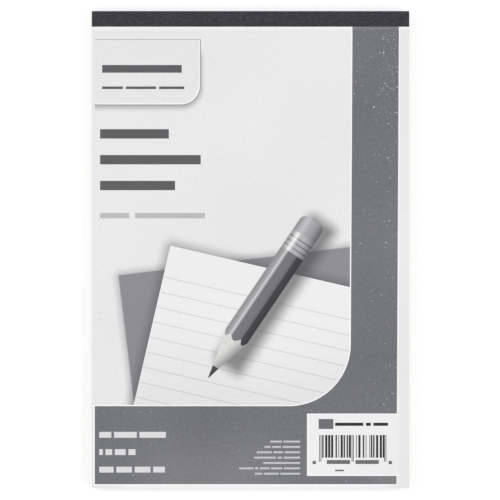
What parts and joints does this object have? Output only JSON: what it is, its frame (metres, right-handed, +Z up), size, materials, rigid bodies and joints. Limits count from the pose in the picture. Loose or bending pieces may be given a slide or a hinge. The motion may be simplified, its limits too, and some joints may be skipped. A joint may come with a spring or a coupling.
{
  "type": "ruled writing tablet",
  "caption": "Top-bound ruled writing tablet lying on its back: loose-edged paper sheets glued along the head to a chipboard back, with a hinged card cover and a wrapped strip of binding tape.",
  "frame": {"origin": "middle of the footprint, on the surface that the tablet lies on", "axes": "+X to the reader's right, +Y along the sheet towards the bound head, +Z up out of the cover"},
  "size_m": [0.1524, 0.229, 0.0087],
  "materials": {
    "chipboard": "matte",
    "writing_paper": "matte",
    "padding_glue": "satin",
    "cover_card": "satin",
    "binding_tape": "matte"
  },
  "bodies": {
    "pad": {"backing_board": "chipboard", "ruled_sheets": "writing_paper", "padding_glue": "padding_glue", "binding_tape": "binding_tape", "cover_bound_edge": "cover_card"},
    "cover": {"front_cover": "cover_card"}
  },
  "joints": [
    {"name": "cover_hinge", "type": "hinge", "parent": "pad", "child": "cover", "pos_m": [0, 0.10702, 0.0087], "axis": [-1, 0, 0], "range_deg": [0, 179]}
  ]
}
